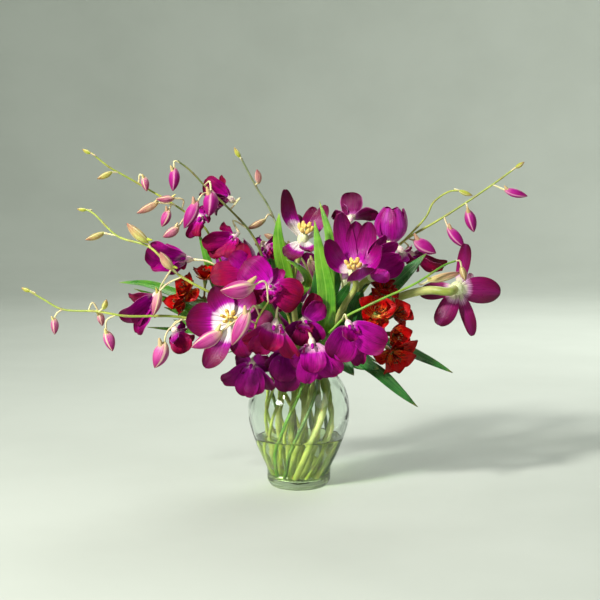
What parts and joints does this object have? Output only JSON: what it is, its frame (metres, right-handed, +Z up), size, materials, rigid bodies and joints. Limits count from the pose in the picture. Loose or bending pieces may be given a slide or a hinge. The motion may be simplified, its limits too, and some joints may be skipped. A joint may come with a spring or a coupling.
{
  "type": "mixed flower bouquet in a glass vase",
  "caption": "Loose bouquet of purple tulips, purple orchid sprays with hanging buds and red alstroemeria, standing in water in a clear glass urn vase.",
  "frame": {"origin": "centre of the vase's flat underside", "axes": "+Z up, +X to the right and -Y towards the viewer of the picture"},
  "size_m": [0.5878, 0.2609, 0.4051],
  "materials": {
    "glass": "clear gloss",
    "water": "clear gloss",
    "tulip_green": "satin",
    "tulip_petal": "satin",
    "anther": "matte",
    "spray_green": "satin",
    "orchid_petal": "satin",
    "alstroemeria_red": "satin",
    "alstroemeria_green": "satin"
  },
  "bodies": {
    "root": {"alstroemeria_back_flowers": "alstroemeria_red", "alstroemeria_back_stem": "alstroemeria_green", "alstroemeria_left_flowers": "alstroemeria_red", "alstroemeria_left_stem": "alstroemeria_green", "alstroemeria_right_flowers": "alstroemeria_red", "alstroemeria_right_stem": "alstroemeria_green", "glass_vase": "glass", "orchid_bloom_1": "orchid_petal", "orchid_bloom_10": "orchid_petal", "orchid_bloom_11": "orchid_petal", "orchid_bloom_12": "orchid_petal", "orchid_bloom_13": "orchid_petal", "orchid_bloom_14": "orchid_petal", "orchid_bloom_15": "orchid_petal", "orchid_bloom_16": "orchid_petal", "orchid_bloom_17": "orchid_petal", "orchid_bloom_18": "orchid_petal", "orchid_bloom_19": "orchid_petal", "orchid_bloom_2": "orchid_petal", "orchid_bloom_20": "orchid_petal", "orchid_bloom_3": "orchid_petal", "orchid_bloom_4": "orchid_petal", "orchid_bloom_5": "orchid_petal", "orchid_bloom_6": "orchid_petal", "orchid_bloom_7": "orchid_petal", "orchid_bloom_8": "orchid_petal", "orchid_bloom_9": "orchid_petal", "orchid_spray_1": "spray_green", "orchid_spray_10": "spray_green", "orchid_spray_11": "spray_green", "orchid_spray_12": "spray_green", "orchid_spray_2": "spray_green", "orchid_spray_3": "spray_green", "orchid_spray_4": "spray_green", "orchid_spray_5": "spray_green", "orchid_spray_6": "spray_green", "orchid_spray_7": "spray_green", "orchid_spray_8": "spray_green", "orchid_spray_9": "spray_green", "tulip_1_petals": "tulip_petal", "tulip_1_stamens": "anther", "tulip_1_stem": "tulip_green", "tulip_2_petals": "tulip_petal", "tulip_2_stamens": "anther", "tulip_2_stem": "tulip_green", "tulip_3_petals": "tulip_petal", "tulip_3_stamens": "anther", "tulip_3_stem": "tulip_green", "tulip_4_petals": "tulip_petal", "tulip_4_stem": "tulip_green", "tulip_5_petals": "tulip_petal", "tulip_5_stem": "tulip_green", "tulip_6_petals": "tulip_petal", "tulip_6_stem": "tulip_green", "tulip_7_petals": "tulip_petal", "tulip_7_stem": "tulip_green", "tulip_8_petals": "tulip_petal", "tulip_8_stem": "tulip_green", "vase_water": "water"}
  },
  "joints": []
}
